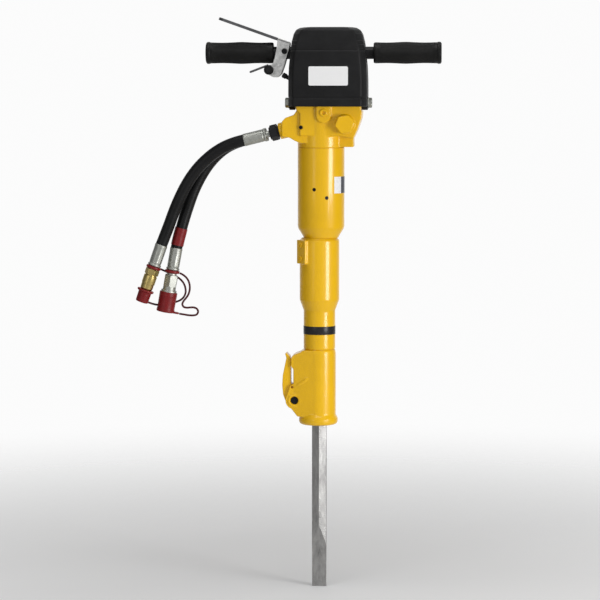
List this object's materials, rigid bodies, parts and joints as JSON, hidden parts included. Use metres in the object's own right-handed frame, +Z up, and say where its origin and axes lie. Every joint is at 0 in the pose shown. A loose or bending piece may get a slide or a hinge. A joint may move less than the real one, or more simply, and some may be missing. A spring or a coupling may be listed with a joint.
{
  "type": "hydraulic breaker hammer",
  "caption": "Hand-held hydraulic breaker with a hexagon chisel, sprung T handles, a start lever, a latch retainer and two capped hose tails.",
  "frame": {"origin": "middle of the chisel's cutting edge, on the tool axis", "axes": "+Z up the tool axis, +X to the operator's side away from the hoses, -Y the front with the blank badge"},
  "size_m": [0.5942, 0.1244, 1.1132],
  "materials": {
    "yellow_paint": "semi-gloss powder coat",
    "chisel_steel": "forged and ground, oiled",
    "machined_steel": "ground and honed",
    "zinc": "bright zinc plated",
    "gold_zinc": "yellow passivated zinc",
    "bronze": "turned bronze",
    "black_steel": "black oxide",
    "black_plastic": "textured moulding",
    "grip_rubber": "soft moulded",
    "hose_rubber": "smooth wrapped",
    "seal_rubber": "moulded nitrile",
    "red_plastic": "soft vinyl",
    "white_paint": "printed",
    "band_black": "printed foil"
  },
  "bodies": {
    "housing": {"tool_bush": "machined_steel", "front_body": "yellow_paint", "marker_band": "band_black", "retainer_housing": "yellow_paint", "latch_pin": "black_steel", "latch_spring": "machined_steel", "pad_screws": "yellow_paint", "piston_bush": "bronze", "piston_seals": "seal_rubber", "cylinder_liner": "machined_steel", "upper_cylinder": "yellow_paint", "gallery_plugs": "black_steel", "blank_label": "white_paint", "backhead": "yellow_paint", "hex_plug": "yellow_paint", "socket_plug": "yellow_paint", "accumulator_diaphragm": "seal_rubber", "charge_valve": "machined_steel", "trigger_sleeve": "machined_steel", "spool_spring": "machined_steel", "cover": "black_plastic", "cover_bolts": "zinc", "blank_badge": "white_paint", "arm_pins": "machined_steel", "arm_stops": "seal_rubber", "left_arm_spring": "machined_steel", "right_arm_spring": "machined_steel", "hose_adaptors": "zinc", "hose_nuts": "black_steel", "upper_ferrules": "zinc", "pressure_hose": "hose_rubber", "return_hose": "hose_rubber", "hose_marker": "red_plastic", "lower_ferrules": "zinc", "cap_rings": "red_plastic", "male_coupler": "gold_zinc", "female_coupler": "zinc", "male_lanyard": "red_plastic", "female_lanyard": "red_plastic"},
    "left_handle": {"left_arm": "black_steel", "left_grip": "grip_rubber", "lever_pin": "black_steel"},
    "right_handle": {"right_arm": "black_steel", "right_grip": "grip_rubber"},
    "start_lever": {"throttle_lever": "zinc", "catch_pin": "machined_steel"},
    "catch": {"safety_catch": "zinc", "catch_knob": "black_plastic"},
    "start_valve": {"trigger_spool": "machined_steel", "push_rod": "black_steel"},
    "chisel": {"chisel": "chisel_steel"},
    "piston": {"piston": "machined_steel"},
    "distributor": {"distributor_valve": "machined_steel"},
    "latch": {"retainer_latch": "yellow_paint"},
    "coupler_sleeve": {"coupler_sleeve": "zinc"},
    "male_poppet": {"male_poppet": "machined_steel"},
    "female_poppet": {"female_poppet": "machined_steel"},
    "male_cap": {"male_cap": "red_plastic"},
    "female_cap": {"female_cap": "red_plastic"}
  },
  "joints": [
    {"name": "left_handle_swing", "type": "hinge", "parent": "housing", "child": "left_handle", "pos_m": [0.0046, 0, 1.044], "axis": [0, -1, 0], "range_deg": [-2, 4], "stiffness_Nm_per_rad": 250, "springref_deg": -0.34, "deforming": ["left_arm_spring"]},
    {"name": "right_handle_swing", "type": "hinge", "parent": "housing", "child": "right_handle", "pos_m": [0.0286, 0, 1.044], "axis": [0, 1, 0], "range_deg": [-2, 4], "stiffness_Nm_per_rad": 250, "springref_deg": -0.34, "deforming": ["right_arm_spring"]},
    {"name": "lever_press", "type": "hinge", "parent": "left_handle", "child": "start_lever", "pos_m": [-0.067, 0, 1.047], "axis": [0, -1, 0], "range_deg": [0, 12], "stiffness_Nm_per_rad": 3, "springref_deg": -5.73},
    {"name": "catch_pull", "type": "hinge", "parent": "start_lever", "child": "catch", "pos_m": [-0.097, -0.024, 1.011], "axis": [0, 1, 0], "range_deg": [0, 15], "stiffness_Nm_per_rad": 0.1, "springref_deg": -17.19},
    {"name": "valve_slide", "type": "slide", "parent": "housing", "child": "start_valve", "axis": [0.8829, 0, -0.4695], "range_m": [0, 0.0105], "deforming": ["spool_spring"]},
    {"name": "chisel_slide", "type": "slide", "parent": "housing", "child": "chisel", "axis": [0, 0, 1], "range_m": [0, 0.019]},
    {"name": "piston_slide", "type": "slide", "parent": "housing", "child": "piston", "axis": [0, 0, 1], "range_m": [0, 0.03]},
    {"name": "distributor_slide", "type": "slide", "parent": "housing", "child": "distributor", "axis": [0, 0, 1], "range_m": [0, 0.0061]},
    {"name": "latch_swing", "type": "hinge", "parent": "housing", "child": "latch", "pos_m": [-0.048, 0, 0.3695], "axis": [0, -1, 0], "range_deg": [0, 35], "stiffness_Nm_per_rad": 0.8, "springref_deg": -17.19},
    {"name": "sleeve_slide", "type": "slide", "parent": "housing", "child": "coupler_sleeve", "axis": [0.1788, 0, 0.9839], "range_m": [0, 0.006], "stiffness_N_per_m": 2500, "springref_m": -0.003},
    {"name": "male_poppet_slide", "type": "slide", "parent": "housing", "child": "male_poppet", "axis": [0.3338, 0, 0.9426], "range_m": [0, 0.005], "stiffness_N_per_m": 1500, "springref_m": -0.003},
    {"name": "female_poppet_slide", "type": "slide", "parent": "housing", "child": "female_poppet", "axis": [0.1788, 0, 0.9839], "range_m": [0, 0.005], "stiffness_N_per_m": 1500, "springref_m": -0.003},
    {"name": "male_cap_pull", "type": "slide", "parent": "housing", "child": "male_cap", "axis": [-0.3338, 0, -0.9426], "range_m": [0, 0.045], "deforming": ["male_lanyard"]},
    {"name": "female_cap_pull", "type": "slide", "parent": "housing", "child": "female_cap", "axis": [-0.1788, 0, -0.9839], "range_m": [0, 0.045], "deforming": ["female_lanyard"]}
  ],
  "couplings": [
    {"joint": "valve_slide", "follows": "lever_press", "m_per_rad": 0.0475},
    {"joint": "distributor_slide", "follows": "piston_slide", "ratio": 0.2}
  ]
}
